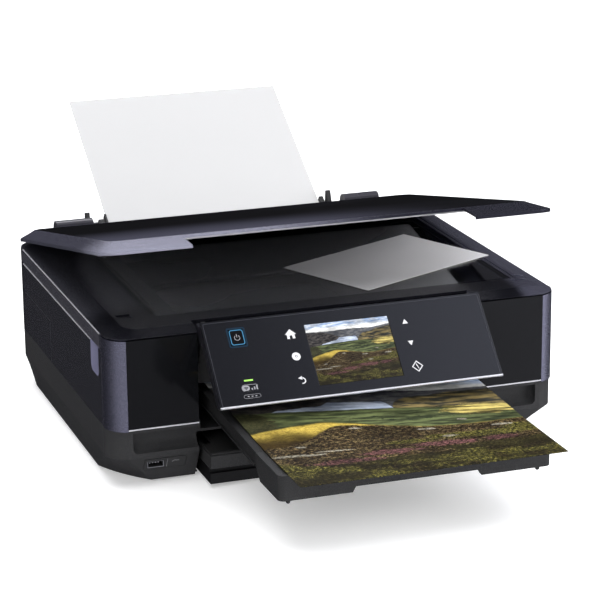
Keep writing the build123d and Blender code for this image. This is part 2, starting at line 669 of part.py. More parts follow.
def scanner_knuckles():
    """Arms on the scanner's back that turn on the base's hinge pins."""
    y, z = SCANNER_AXIS
    arm = prism([(REAR - 1, 119), (REAR - 1, 126), (y - 4, z + 2), (y + 3, z - 4)], 164.2, 171.8)
    arm += rod(164.2, 171.8, y, z, 5.0)
    return both(arm - rod(164, 172, y, z, 2.05))


def scanner_hinge_brackets():
    y, z = SCANNER_AXIS
    plate = block(160.5, 175.5, REAR, REAR + 3, 92, 110)
    cheek = prism([(REAR, 96), (REAR + 3, 93), (y + 5, z), (y - 4.6, z), (REAR + 0.5, 112)], 160.5, 164)
    cheek += rod(160.5, 164, y, z, 5.0)
    cheeks = cheek + Pos(11.5, 0, 0) * cheek
    return both(plate + cheeks + rod(160.5, 175.5, y, z, 2.0))


def glass_hole(z0, z1, grow=0.0):
    return block(-147 - grow, 170 + grow, 42 - grow, 277 + grow, z0, z1)


def scanner_frame():
    """The sloped surround of the glass; its front steps back behind the control panel."""
    skirt = raised(SCANNER_WALL_TOP + 0.1, FRAME_LOW, inset=1.9)
    top = plan(
        FRAME_TOP, side=177, front=14, rear=309, corner=(10, 14), rear_corner=(10, 14), bulge=2.5
    )
    lip = raised(FRAME_LOW, FRAME_LOW + 0.15, inset=0.3)
    frame = skirt + lip + loft([plan(FRAME_LOW, inset=1.1), top], ruled=True)
    frame -= block(-120.6, 120.6, -1, 21.6, 120, 140)
    frame -= raised(SCANNER_WALL_TOP - 1, FRAME_LOW + 1.6, inset=14)
    frame -= glass_hole(120, 140)
    frame -= block(172.5, 174, 30, 300, FRAME_TOP - 1.5, 140)
    frame -= block(167.2, 185, 18, 38.1, 129.4, 140) + block(175.4, 186.5, 41.4, 52.2, 129.9, 140)
    frame += block(167.8, 184.4, 18.6, 37.5, 129.2, 130.6)
    frame -= block(-174, -162, 44, 56, 130.8, 140)
    ledge = block(-152, 175, 37, 282, 127.4, 130.2) - glass_hole(129, 131)
    return frame + ledge - block(-142, 165, 47, 272, 127, 130)


def scan_glass():
    return glass_hole(129, FRAME_TOP - 0.4, -0.2)


def scan_bar():
    """The contact image sensor on its sled, parked at the left."""
    sled = block(-140, -120, 44, 275, 118.6, 124.6)
    sensor = block(-136, -124, 46, 273, 124.6, 126.8)
    return sled + sensor - rod(-145, -115, *SCAN_RAIL, 2.05)


def document():
    """A 4 by 6 inch print lying askew on the glass."""
    return Pos(89.8, 127.9, FRAME_TOP + 0.3) * Rot(0, 0, 25.4) * Box(152.4, 101.6, SHEET)


# ---------------------------------------------------------------- lid


def lid_ridge(z, inset=0.0):
    """The flat top's outline inside the sloped bezel."""
    return plan(z, inset=inset, side=182, front=30, rear=312, corner=(9, 9), rear_corner=(9, 9), bulge=1.5)


def lid_bezel():
    """The lid's sloped surround, closed; the front is cut back over the control panel."""
    rim = raised(LID_LOW, LID_RIM_TOP)
    slope = loft([plan(LID_RIM_TOP), lid_ridge(LID_TOP)], ruled=True)
    under = raised(LID_LOW - 1, LID_RIM_TOP - 0.9, inset=1.6)
    under_slope = loft([plan(LID_RIM_TOP - 0.9, inset=1.6), lid_ridge(LID_TOP - 1.9, 1.6)], ruled=True)
    lid = rim + slope - under - under_slope
    lid -= extrude(lid_ridge(LID_TOP - 4, 0.8), amount=8, dir=(0, 0, 1))
    corners = ((-120.5, 120), (-122.5, 138), (122.5, 138), (120.5, 120))
    notch = Wire.make_polygon([Vector(x, -1, z) for x, z in corners])
    return lid - extrude(Face(notch), amount=28.5, dir=(0, 1, 0))


def lid_panel():
    """The glossy flat top."""
    top = extrude(lid_ridge(LID_TOP - 2.2, 0.8), amount=2.1, dir=(0, 0, 1))
    return top + extrude(lid_ridge(LID_TOP - 2.2, 2.2), amount=0.4, dir=(0, 0, -1))


def lid_mat():
    """The white foam backing under the lid."""
    return fillet(block(-150, 172, 38, 281, 133.1, LID_TOP - 2.6).edges().filter_by(Axis.Z), 4.0)


def lid_hinge_covers():
    y, z = LID_AXIS
    dome = rod(122.5, 157, y, z, 8.6) & block(120, 160, REAR, 350, z, 150)
    dome -= rod(130.7, 148.3, y, z, 6.9)
    foot = block(122.5, 130.7, REAR, y, LID_LOW + 0.2, z) + block(148.3, 157, REAR, y, LID_LOW + 0.2, z)
    ends = rod(122.5, 130.7, y, z, 5.5) + rod(148.3, 157, y, z, 5.5)
    return both(dome + foot + ends - rod(120, 160, y, z, 2.5))


def lid_hinge_pins():
    return both(rod(122.5, 157, *LID_AXIS, 2.5))


def opened(shape):
    """A piece of the lid at its rest angle."""
    return turned(shape, LID_AXIS, LID_OPEN)


NODES = {
    "base_tray": base_tray,
    "feet": feet,
    "screws": screws,
    "usb_port": usb_port,
    "left_side_panel": side_panel,
    "right_side_panel": lambda: mirrored(side_panel()) - rear_inlet_hole(),
    "power_inlet": power_inlet,
    "rear_panel": rear_panel,
    "front_panels": lambda: both(front_panel()),
    "corner_pillars": lambda: both(corner_pillar()),
    "base_trims": lambda: both(front_trim() + side_trim(SIDE_TOP, 58)),
    "front_bulkhead": front_bulkhead,
    "tray_deck": tray_deck,
    "chassis": chassis,
    "carriage_rail": carriage_rail,
    "carriage_belt": carriage_belt,
    "platen": platen,
    "drive_motors": drive_motors,
    "cap_station": cap_station,
    "power_supply": power_supply,
    "main_board": main_board,
    "rear_feed_chute": rear_feed_chute,
    "rear_flap": rear_flap,
    "scanner_hinge_brackets": scanner_hinge_brackets,
    "duplex_cover": duplex_cover,
    "feed_roller": feed_roller,
    "pinch_rollers": pinch_rollers,
    "exit_roller": exit_roller,
    "idler_gear": idler_gear,
    "motor_pinion": motor_pinion,
    "print_carriage": print_carriage,
    "ink_cartridges": ink_cartridges,
    "drive_pulley": lambda: pulley(PULLEY_X),
    "idler_pulley": lambda: pulley(-PULLEY_X),
    "tray_plate": tray_plate,
    "tray_cap": lambda: tray_cap() + tray_pegs(),
    "printed_sheet": printed_sheet,
    "main_cassette": main_cassette,
    "cassette_guide": cassette_guide,
    "photo_cassette": photo_cassette,
    "photo_cassette_cover": photo_cassette_cover,
    "rear_sheet": rear_sheet,
    "paper_support": paper_support,
    "sliding_edge_guide": sliding_edge_guide,
    "control_panel_housing": panel_housing,
    "control_panel_glass": panel_glass,
    "display": display,
    "control_panel_trim": panel_trim,
    "power_button": power_button,
    "scanner_housing": scanner_housing,
    "scanner_frame": scanner_frame,
    "scanner_trims": lambda: both(side_trim(SCANNER_WALL_TOP, 27.4)),
    "scan_glass": scan_glass,
    "scan_bar": scan_bar,
    "document": document,
    "lid_bezel": lambda: opened(lid_bezel()),
    "lid_panel": lambda: opened(lid_panel()),
    "lid_mat": lambda: opened(lid_mat()),
    "lid_hinge_covers": lambda: opened(lid_hinge_covers()),
    "lid_hinge_pins": lambda: opened(lid_hinge_pins()),
}

for name, make in NODES.items():
    export_step(Pos(0, ROW_SHIFT, 0) * make(), f"parts/{name}.step")
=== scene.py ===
"""The looks of an all-in-one inkjet printer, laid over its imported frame. Sizes are in metres."""

import math

import bpy
from mathutils import Matrix, Vector


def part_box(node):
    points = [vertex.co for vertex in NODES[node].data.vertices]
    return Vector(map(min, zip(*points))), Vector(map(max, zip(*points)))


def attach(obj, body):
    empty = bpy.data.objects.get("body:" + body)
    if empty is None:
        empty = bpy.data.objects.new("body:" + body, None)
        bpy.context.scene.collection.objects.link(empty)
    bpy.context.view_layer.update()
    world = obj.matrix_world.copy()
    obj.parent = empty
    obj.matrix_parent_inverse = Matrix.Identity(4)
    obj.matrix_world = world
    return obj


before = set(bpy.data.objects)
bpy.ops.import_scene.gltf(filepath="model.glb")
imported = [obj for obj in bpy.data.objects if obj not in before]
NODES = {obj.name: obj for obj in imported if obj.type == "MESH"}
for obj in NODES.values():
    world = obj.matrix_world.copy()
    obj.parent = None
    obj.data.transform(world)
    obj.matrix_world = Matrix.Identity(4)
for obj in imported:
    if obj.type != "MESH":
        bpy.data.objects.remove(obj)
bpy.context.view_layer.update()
MM = 0.001
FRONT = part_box("front_panels")[0].y  # the body's front plane
HALF = 0.195  # half the body's width
X_AXIS, Y_AXIS, Z_AXIS = Vector((1, 0, 0)), Vector((0, 1, 0)), Vector((0, 0, 1))

# ---------------------------------------------------------------- camera


def add_camera():
    """A long lens at the printer's left front corner, a little above it."""
    azimuth, elevation, roll = math.radians(-19.05), math.radians(16.63), math.radians(-0.54)
    back = Vector(
        (
            math.sin(azimuth) * math.cos(elevation),
            -math.cos(azimuth) * math.cos(elevation),
            math.sin(elevation),
        )
    )
    right = (-back).cross(Vector((0, 0, 1))).normalized()
    up = right.cross(-back)
    right, up = (
        right * math.cos(roll) + up * math.sin(roll),
        up * math.cos(roll) - right * math.sin(roll),
    )
    data = bpy.data.cameras.new("camera")
    data.lens, data.sensor_width = 144.95, 36
    data.clip_start, data.clip_end = 0.05, 60
    camera = bpy.data.objects.new("camera", data)
    camera.matrix_world = Matrix(
        (
            (right.x, up.x, back.x, 0),
            (right.y, up.y, back.y, 0),
            (right.z, up.z, back.z, 0),
            (0, 0, 0, 1),
        )
    )
    camera.location = Vector((0.02416, FRONT + 0.170, 0.09235)) + back * 2.13407
    bpy.context.collection.objects.link(camera)
    bpy.context.scene.camera = camera


# ---------------------------------------------------------------- materials


class Look:
    """A Principled material, and short ways to make the nodes behind its sockets."""

    def __init__(self, name, colour=(0.5, 0.5, 0.5), **fixed):
        self.material = bpy.data.materials.new(name)
        self.material.use_nodes = True
        self.tree = self.material.node_tree
        self.shader = self.tree.nodes["Principled BSDF"]
        self.shader.inputs["Base Color"].default_value = (*colour, 1)
        for key, value in fixed.items():
            self.shader.inputs[key.replace("_", " ")].default_value = value
        self.where = self.node("TexCoord").outputs["Object"]

    def node(self, kind, **settings):
        made = self.tree.nodes.new("ShaderNode" + kind)
        for key, value in settings.items():
            setattr(made, key, value)
        return made

    def feed(self, socket, value):
        if isinstance(value, bpy.types.NodeSocket):
            self.tree.links.new(value, socket)
        elif isinstance(value, (tuple, list)) and len(socket.default_value) == 4:
            socket.default_value = (*value, 1)
        else:
            socket.default_value = value

    def to(self, name, value):
        self.feed(self.shader.inputs[name], value)

    def math(self, kind, a, b=0.0, c=0.0):
        made = self.node("Math", operation=kind)
        for socket, value in zip(made.inputs, (a, b, c)):
            self.feed(socket, value)
        return made.outputs[0]

    def mix(self, share, a, b, blend="MIX"):
        made = self.node("Mix", data_type="RGBA", blend_type=blend)
        self.feed(made.inputs[0], share)
        self.feed(made.inputs[6], a)
        self.feed(made.inputs[7], b)
        return made.outputs[2]

    def noise(self, scale, detail=3.0, rough=0.5, where=None, warp=0.0):
        made = self.node("TexNoise")
        self.feed(made.inputs["Vector"], self.where if where is None else where)
        self.feed(made.inputs["Scale"], scale)
        self.feed(made.inputs["Detail"], detail)
        self.feed(made.inputs["Roughness"], rough)
        self.feed(made.inputs["Distortion"], warp)
        return made.outputs["Fac"]

    def span(self, value, low, high, to_low=0.0, to_high=1.0, smooth=True):
        made = self.node("MapRange", interpolation_type="SMOOTHSTEP" if smooth else "LINEAR")
        for socket, v in zip(made.inputs, (value, low, high, to_low, to_high)):
            self.feed(socket, v)
        return made.outputs[0]

    def point(self, x, y, z=0.0):
        made = self.node("CombineXYZ")
        for socket, v in zip(made.inputs, (x, y, z)):
            self.feed(socket, v)
        return made.outputs[0]

    def axes(self):
        made = self.node("SeparateXYZ")
        self.feed(made.inputs[0], self.where)
        return made.outputs

    def stretched(self, x, y, z):
        made = self.node("Mapping")
        self.feed(made.inputs["Vector"], self.where)
        made.inputs["Scale"].default_value = (x, y, z)
        return made.outputs[0]

    def relief(self, height, depth, edge=0.0):
        """Surface relief of depth metres, over edges rounded by edge metres."""
        bump = self.node("Bump")
        self.feed(bump.inputs["Height"], height)
        bump.inputs["Strength"].default_value = 1.0
        bump.inputs["Distance"].default_value = depth
        if edge:
            rounding = self.node("Bevel", samples=4)
            rounding.inputs["Radius"].default_value = edge
            self.feed(bump.inputs["Normal"], rounding.outputs[0])
        self.to("Normal", bump.outputs[0])


def gloss(name, colour, edge=0.0004, specular=0.3, rough=0.09):
    """Polished plastic, with faint wipe marks in its gloss."""
    look = Look(name, colour, Specular_IOR_Level=specular)
    wipes = look.noise(5, 3, 0.5)
    dust = look.span(look.noise(2600, 1), 0.70, 0.78)
    wiped = look.span(wipes, 0.3, 0.7, rough * 0.85, rough * 1.2)
    look.to("Roughness", look.math("MULTIPLY_ADD", dust, 0.08, wiped))
    shade = tuple(c * 1.3 + 0.001 for c in colour)
    look.to("Base Color", look.mix(look.span(wipes, 0.3, 0.8, 0, 0.5), colour, shade))
    look.relief(look.noise(260, 1), 0.000008, edge)
    return look


def matte(name, colour, edge=0.0004, rough=0.55, specular=0.3, grain=1500, depth=0.00012, spread=0.35):
    """Spark-textured moulded plastic."""
    look = Look(name, colour, Specular_IOR_Level=specular)
    spark = look.noise(grain, 3, 0.65)
    drift = look.noise(18, 3, 0.55)
    light = tuple(c * (1 + spread) + 0.002 for c in colour)
    dark = tuple(c * (1 - spread) for c in colour)
    tone = look.mix(look.span(spark, 0.35, 0.65), dark, light)
    look.to("Base Color", look.mix(look.span(drift, 0.35, 0.7, 0, 0.35), tone, light))
    look.to("Roughness", look.span(spark, 0.3, 0.7, rough - 0.08, rough + 0.1))
    look.relief(spark, depth, edge)
    return look


def metal(name, colour, rough=0.25, along=(4, 160, 160), edge=0.0002):
    """Metal brushed along one axis."""
    look = Look(name, colour, Metallic=1.0)
    lines = look.noise(16, 4, 0.6, look.stretched(*along))
    look.to("Roughness", look.span(lines, 0.3, 0.7, rough * 0.7, rough * 1.3))
    dark = tuple(c * 0.78 for c in colour)
    look.to("Base Color", look.mix(look.span(lines, 0.3, 0.7), dark, colour))
    look.relief(lines, 0.00002, edge)
    return look


def paper(name, colour=(0.80, 0.80, 0.81)):
    """Office paper: fibres, and a slow unevenness in its white."""
    look = Look(name, colour, Roughness=0.72, Specular_IOR_Level=0.25)
    fibre = look.noise(1700, 4, 0.7, look.stretched(1, 0.35, 1), 0.5)
    cloud = look.noise(22, 3, 0.5)
    shade = tuple(c * 0.965 for c in colour)
    unevenness = look.math("MULTIPLY", look.span(fibre, 0.3, 0.7), look.span(cloud, 0.3, 0.7, 0.5, 1))
    look.to("Base Color", look.mix(unevenness, colour, shade))
    look.relief(fibre, 0.000006)
    return look


def facing(look, axis):
    """One part of the surface normal, in the piece's own axes."""
    split = look.node("SeparateXYZ")
    look.feed(split.inputs[0], look.node("TexCoord").outputs["Normal"])
    return split.outputs[axis]


def pillar_satin_painted_light():
    """Violet satin with painted light: faces that turn to the front are painted lighter, as if lit, and
    faces that turn away are painted darker, as shade.
    """
    look = Look("pillar_violet_satin_painted_light", Metallic=0.85, Specular_IOR_Level=0.4)
    grain = look.noise(2600, 2, 0.5)
    front = look.span(facing(look, 1), -0.15, -0.97)
    # painted light and shade: front-facing faces get the light violet, side faces the dark one
    look.to("Base Color", look.mix(front, (0.075, 0.075, 0.105), (0.235, 0.235, 0.315)))
    look.to("Roughness", look.span(grain, 0.3, 0.7, 0.22, 0.28))
    look.relief(grain, 0.000005, 0.0005)
    return look


def frame_satin_painted_light():
    """The scanner frame: dark satin, with painted violet highlights on its outer slopes and its right
    rail, and painted shade that makes it almost black in front.
    """
    look = Look("frame_violet_satin_painted_light", Metallic=0.5, Specular_IOR_Level=0.4)
    x, y, _ = look.axes()
    grain = look.noise(2600, 2, 0.5)
    # painted highlight: faces that slope to the sides, and the right rail, are painted violet as if lit
    slope = look.span(look.math("ABSOLUTE", facing(look, 0)), 0.2, 0.5)
    rail = look.span(x, 0.158, 0.170, 0, 0.6)
    # painted shade: the dark satin is painted darker towards the front
    behind = look.span(y, FRONT + 0.05, FRONT + 0.09)
    dark = look.mix(behind, (0.010, 0.010, 0.014), (0.055, 0.055, 0.068))
    look.to("Base Color", look.mix(look.math("MAXIMUM", slope, rail), dark, (0.13, 0.13, 0.18)))
    look.to("Roughness", look.span(grain, 0.3, 0.7, 0.25, 0.31))
    look.relief(grain, 0.000005, 0.0005)
    return look


def print_back_painted_shade():
    """The back of the small print on the glass, with painted shade: grey on its left and front, lighter
    towards its right and back.
    """
    look = Look("photo_paper_painted_shade", Roughness=0.6, Specular_IOR_Level=0.25)
    x, y, _ = look.axes()
    low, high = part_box("document")
    # painted shade and light: the grey-to-white gradient stands in for the lid's shadow over the sheet;
    # the fibre noise is the paper's own
    painted_light_rightward = look.span(x, low.x, high.x, -0.05, 0.85)
    share = look.math("ADD", painted_light_rightward, look.span(y, low.y, high.y, -0.1, 0.22))
    fibre = look.noise(1700, 4, 0.7, look.stretched(1, 0.35, 1), 0.5)
    share = look.math("ADD", share, look.span(fibre, 0.3, 0.7, -0.03, 0.03))
    look.to("Base Color", look.mix(share, (0.40, 0.395, 0.40), (0.94, 0.93, 0.935)))
    look.relief(fibre, 0.000006)
    return look


def landscape(look, u, v):
    """A lake between mountains, beyond a heather moor. u and v run from 0 to 1."""

    def grain(scale, detail=4, rough=0.6, stretch=1.0):
        return look.noise(scale, detail, rough, look.point(u, look.math("MULTIPLY", v, stretch)))

    def two(fac, low, high, dark, light, share=1.0):
        return look.mix(look.span(fac, low, high, 0, share), dark, light)

    def below(ridge, ragged=0.02, scale=14, soft=0.008):
        """A mask for all that lies under a ridge line."""
        curve = look.node("FloatCurve")
        line = curve.mapping.curves[0]
        line.points[0].location, line.points[-1].location = ridge[0], ridge[-1]
        for at in ridge[1:-1]:
            line.points.new(*at)
        for point in line.points:
            point.handle_type = "AUTO_CLAMPED"
        curve.mapping.update()
        look.feed(curve.inputs["Value"], u)
        wobble = look.math("SUBTRACT", look.noise(scale, 5, 0.6, look.point(u, 0.37)), 0.5)
        height = look.math("MULTIPLY_ADD", wobble, ragged * 2, curve.outputs[0])
        return look.span(look.math("SUBTRACT", height, v), -soft, soft)

    def patch(at, size, ragged=0.9):
        """A mask for a ragged oval."""
        across = look.math("DIVIDE", look.math("SUBTRACT", u, at[0]), size[0])
        along = look.math("DIVIDE", look.math("SUBTRACT", v, at[1]), size[1])
        away = look.math("MULTIPLY_ADD", across, across, look.math("MULTIPLY", along, along))
        away = look.math("MULTIPLY_ADD", look.math("SUBTRACT", clump, 0.5), ragged * 4, away)
        return look.span(away, 1.15, 0.75)

    def laid(art, mask, colour):
        return look.mix(mask, art, colour)

    fine = grain(80, 9, 0.84, 1.3)
    clump = grain(19, 7, 0.72, 1.9)
    broad = grain(5, 4, 0.6, 1.8)
    streak = grain(7, 6, 0.62, 5.0)

    sky = two(streak, 0.40, 0.62, (0.22, 0.31, 0.48), (0.56, 0.59, 0.64))
    sky = laid(sky, look.span(v, 0.95, 0.885), (0.78, 0.78, 0.76))
    far = two(clump, 0.4, 0.62, (0.050, 0.054, 0.066), (0.125, 0.125, 0.125))
    skyline = [(0, 0.875), (0.3, 0.855), (0.5, 0.865), (0.75, 0.85), (1, 0.885)]
    art = laid(sky, below(skyline, 0.012), far)
    right_hill = two(streak, 0.44, 0.58, (0.030, 0.030, 0.024), (0.19, 0.145, 0.06))
    right_ridge = [(0, 0.3), (0.56, 0.62), (0.62, 0.74), (0.76, 0.80), (1, 0.86)]
    art = laid(art, below(right_ridge), right_hill)
    left_hill = two(clump, 0.36, 0.66, (0.012, 0.012, 0.014), (0.072, 0.064, 0.058))
    left_ridge = [(0, 0.86), (0.2, 0.84), (0.34, 0.77), (0.44, 0.70), (0.6, 0.60), (1, 0.5)]
    art = laid(art, below(left_ridge), left_hill)
    water = two(streak, 0.38, 0.60, (0.21, 0.25, 0.34), (0.47, 0.53, 0.63))
    shore = [(0, 0.3), (0.13, 0.63), (0.25, 0.68), (0.33, 0.70)]
    shore += [(0.38, 0.735), (0.56, 0.735), (0.60, 0.6), (1, 0.3)]
    art = laid(art, below(shore, 0.012, 22, 0.004), water)
    meadow = two(streak, 0.40, 0.62, (0.022, 0.028, 0.014), (0.105, 0.125, 0.050))
    far_bank = [(0, 0.62), (0.14, 0.638), (0.39, 0.656), (0.57, 0.66), (1, 0.60)]
    art = laid(art, below(far_bank, 0.006, 20, 0.004), meadow)
    scrub = two(fine, 0.4, 0.6, (0.012, 0.016, 0.008), (0.060, 0.056, 0.026))
    art = laid(art, patch((0.04, 0.54), (0.09, 0.09)), scrub)
    sunlit = two(streak, 0.38, 0.62, (0.06, 0.050, 0.016), (0.52, 0.42, 0.13))
    art = laid(art, patch((0.89, 0.61), (0.15, 0.06), 0.9), sunlit)
    hedge = look.math("MULTIPLY", look.span(clump, 0.56, 0.60), patch((0.55, 0.56), (0.34, 0.05)))
    art = laid(art, hedge, (0.010, 0.015, 0.009))
    height = look.math("MULTIPLY_ADD", broad, 0.12, v)
    gold = two(height, 0.42, 0.56, (0.050, 0.032, 0.008), (0.60, 0.45, 0.09))
    gold = two(fine, 0.40, 0.62, look.mix(1.0, gold, (0.45, 0.42, 0.35), "MULTIPLY"), gold)
    crest = [(0, 0.45), (0.1, 0.485), (0.2, 0.515), (0.3, 0.535)]
    crest += [(0.36, 0.52), (0.48, 0.485), (0.7, 0.44), (1, 0.47)]
    art = laid(art, below(crest, 0.008), gold)
    heath = two(fine, 0.49, 0.61, (0.003, 0.002, 0.001), (0.16, 0.105, 0.048))
    ochre = two(fine, 0.47, 0.60, (0.008, 0.006, 0.003), (0.36, 0.27, 0.12))
    heath = laid(heath, look.span(clump, 0.47, 0.58, 0, 0.6), ochre)
    edge = [(0, 0.325), (0.1, 0.345), (0.18, 0.385), (0.26, 0.46)]
    edge += [(0.34, 0.505), (0.48, 0.483), (0.7, 0.44), (1, 0.47)]
    art = laid(art, below(edge, 0.014, 20), heath)
    moss = two(fine, 0.47, 0.61, (0.005, 0.006, 0.002), (0.24, 0.21, 0.05))
    for at, size in (
        ((0.80, 0.325), (0.22, 0.035)),
        ((0.97, 0.36), (0.08, 0.06)),
        ((0.52, 0.30), (0.10, 0.02)),
    ):
        art = laid(art, patch(at, size), moss)
    grass = two(fine, 0.48, 0.61, (0.003, 0.003, 0.001), (0.11, 0.08, 0.034))
    grass = laid(grass, look.span(broad, 0.42, 0.56), moss)
    grass = laid(grass, look.span(clump, 0.56, 0.42, 0, 0.6), (0.014, 0.013, 0.004))
    turf = [(0, 0.19), (0.2, 0.14), (0.4, 0.15), (0.6, 0.17), (0.8, 0.21), (1, 0.24)]
    art = laid(art, below(turf, 0.03, 9, 0.02), grass)
    shade = two(fine, 0.45, 0.64, (0.006, 0.006, 0.002), (0.070, 0.056, 0.020))
    for at, size in (
        ((0.84, 0.19), (0.26, 0.035)),
        ((0.44, 0.145), (0.20, 0.022)),
        ((0.16, 0.04), (0.14, 0.03)),
    ):
        art = laid(art, patch(at, size), shade)
    bloom = two(fine, 0.46, 0.60, (0.010, 0.006, 0.004), (0.25, 0.11, 0.105))
    for at, size in (
        ((0.24, 0.165), (0.13, 0.02)),
        ((0.42, 0.215), (0.12, 0.022)),
        ((0.64, 0.25), (0.13, 0.026)),
    ):
        art = laid(art, patch(at, size, 1.2), bloom)
    art = laid(art, patch((0.84, 0.26), (0.07, 0.024), 1.2), bloom)
    stone = two(fine, 0.40, 0.62, (0.035, 0.030, 0.020), (0.40, 0.37, 0.29))
    for at, size in (
        ((0.09, 0.250), (0.11, 0.009)),
        ((0.24, 0.270), (0.07, 0.006)),
        ((0.13, 0.325), (0.020, 0.008)),
        ((0.38, 0.470), (0.024, 0.008)),
        ((0.62, 0.420), (0.034, 0.009)),
        ((0.67, 0.325), (0.032, 0.009)),
        ((0.78, 0.500), (0.022, 0.008)),
        ((0.90, 0.410), (0.034, 0.013)),
    ):
        art = laid(art, patch(at, size, 1.3), stone)
    light = look.span(broad, 0.36, 0.62, 0.62, 1.25)
    return look.mix(1.0, art, look.point(light, light, light), "MULTIPLY")


LEAN = math.radians(44)
PANEL_EDGE = Vector((0, FRONT - 0.003, 0.137))
DOWN = Vector((0, -math.sin(LEAN), -math.cos(LEAN)))


def printed_paper():
    """The photo print on the tray: the picture on its upper face, plain paper below."""
    look = Look("printed_photo_paper", Specular_IOR_Level=0.1)
    x, y, _ = look.axes()
    low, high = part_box("printed_sheet")
    u = look.span(x, low.x, high.x, smooth=False)
    v = look.span(y, low.y, low.y + 0.260, smooth=False)
    v = look.math("MULTIPLY", v, look.math("MULTIPLY_ADD", u, 0.45, 1.0))
    facing = look.node("SeparateXYZ")
    look.feed(facing.inputs[0], look.node("NewGeometry").outputs["Normal"])
    above = look.math("GREATER_THAN", facing.outputs[2], -0.5)
    look.to("Base Color", look.mix(above, (0.80, 0.80, 0.79), landscape(look, u, v)))
    look.to("Roughness", look.span(look.noise(40, 3), 0.3, 0.7, 0.45, 0.55))
    look.relief(look.noise(1400, 2), 0.000008)
    return look


def lid_black_painted_sheen():
    """The lid's soft black, with a painted violet sheen that grows towards its front edge and its left
    side.
    """
    look = Look("lid_black_painted_sheen", Specular_IOR_Level=0.0)
    x, y, _ = look.axes()
    # painted reflection: the violet towards the front and left stands in for light glancing off the lid;
    # the slow noise adds random unevenness
    painted_sheen_near = look.span(y, FRONT + 0.20, FRONT + 0.03)
    left = look.span(x, 0.14, -0.04, 0.03, 1.0)
    share = look.math("MULTIPLY", painted_sheen_near, left)
    share = look.math("MULTIPLY_ADD", look.span(look.noise(4, 2), 0.3, 0.7, -0.05, 0.05), 1.0, share)
    look.to("Base Color", look.mix(share, (0.0050, 0.0050, 0.0056), (0.045, 0.045, 0.062)))
    look.to("Roughness", look.span(look.noise(9, 3), 0.3, 0.7, 0.30, 0.36))
    look.relief(look.noise(260, 1), 0.000008, 0.0004)
    return look


def lid_rim_painted_highlight():
    """The lid's rim: satin violet, with a painted highlight on its front left and painted shade towards
    its right.
    """
    look = Look("lid_violet_satin_painted_highlight", Metallic=0.7, Specular_IOR_Level=0.4)
    x, y, _ = look.axes()
    # painted highlight: a pale violet patch on the front left stands in for the light there
    share = look.math("MULTIPLY", look.span(x, 0.06, -0.10), look.span(y, FRONT + 0.10, FRONT + 0.02))
    grain = look.noise(2600, 2, 0.5)
    # painted shade: the rest of the rim is painted darker towards its right side
    dark = look.mix(look.span(x, -0.10, 0.10), (0.10, 0.10, 0.14), (0.035, 0.035, 0.05))
    look.to("Base Color", look.mix(share, dark, (0.50, 0.50, 0.62)))
    look.to("Roughness", look.span(grain, 0.3, 0.7, 0.24, 0.30))
    look.relief(grain, 0.000005, 0.0006)
    return look


def side_black_painted_recess_light():
    """Glossy black walls; the hand recess in them is painted light violet, standing in for the light on
    its walls and lip.
    """
    look = Look("side_black_painted_recess_light", Specular_IOR_Level=0.35)
    x, y, z = look.axes()
    depth = look.span(look.math("ABSOLUTE", x), 0.1948, 0.1945, smooth=False)
    length = look.span(look.math("ABSOLUTE", look.math("SUBTRACT", y, FRONT + 0.045)), 0.0145, 0.0140)
    recess = look.math("MULTIPLY", look.math("MULTIPLY", depth, length), look.span(z, 0.0870, 0.0875))
    # painted light: the recess gets a light violet colour as if lit, the walls round it stay black
    look.to("Base Color", look.mix(recess, (0.0080, 0.0080, 0.0100), (0.20, 0.20, 0.29)))
    look.to("Roughness", look.span(look.noise(5, 3), 0.3, 0.7, 0.12, 0.17))
    look.relief(look.noise(260, 1), 0.000008, 0.0004)
    return look


def screen():
    """The lit display behind its cover."""
    look = Look("display_picture", Roughness=0.12, Specular_IOR_Level=0.3, Emission_Strength=0.9)
    x, y, z = look.axes()
    rise, run = math.cos(LEAN), math.sin(LEAN)
    up = look.math("MULTIPLY_ADD", y, run, look.math("MULTIPLY", z, rise))
    below_edge, tall = 0.0121, 0.0541
    top = PANEL_EDGE.y * run + PANEL_EDGE.z * rise - below_edge
    low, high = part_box("display")
    u = look.span(x, low.x, high.x, smooth=False)
    art = landscape(look, u, look.span(up, top - tall, top, smooth=False))
    look.to("Base Color", look.mix(0.65, art, (0, 0, 0)))
    look.to("Emission Color", art)
    look.relief(look.noise(300, 1), 0.000004)
    return look


def glow(name, colour, strength):
    """A lit mark, a little uneven in its light."""
    look = Look(name, tuple(c * 0.25 for c in colour), Roughness=0.3, Emission_Strength=strength)
    dim = tuple(c * 0.8 for c in colour)
    look.to("Emission Color", look.mix(look.span(look.noise(500, 2), 0.3, 0.7, 0, 0.4), colour, dim))
    return look


def flatbed():
    """The scanner's clear glass."""
    look = Look("flatbed_glass", (0.90, 0.92, 0.94), Roughness=0.02, IOR=1.5, Transmission_Weight=1.0)
    look.to("Roughness", look.span(look.noise(14, 4, 0.6), 0.35, 0.75, 0.015, 0.05))
    return look


def board():
    """Solder mask over copper tracks."""
    look = Look("circuit_board", (0.01, 0.09, 0.04), Roughness=0.35)
    tracks = look.node("TexBrick", offset=0.37, squash=1.6)
    look.feed(tracks.inputs["Vector"], look.stretched(1, 1, 1))
    for key, value in (
        ("Color1", (0.008, 0.10, 0.045)),
        ("Color2", (0.010, 0.075, 0.035)),
        ("Mortar", (0.10, 0.16, 0.05)),
        ("Scale", 240.0),
    ):
        look.feed(tracks.inputs[key], value)
    tracks.inputs["Mortar Size"].default_value = 0.03
    chips = look.span(look.noise(300, 2), 0.6, 0.66)
    look.to("Base Color", look.mix(chips, tracks.outputs["Color"], (0.02, 0.02, 0.02)))
    look.relief(look.noise(700, 2), 0.0001)
    return look


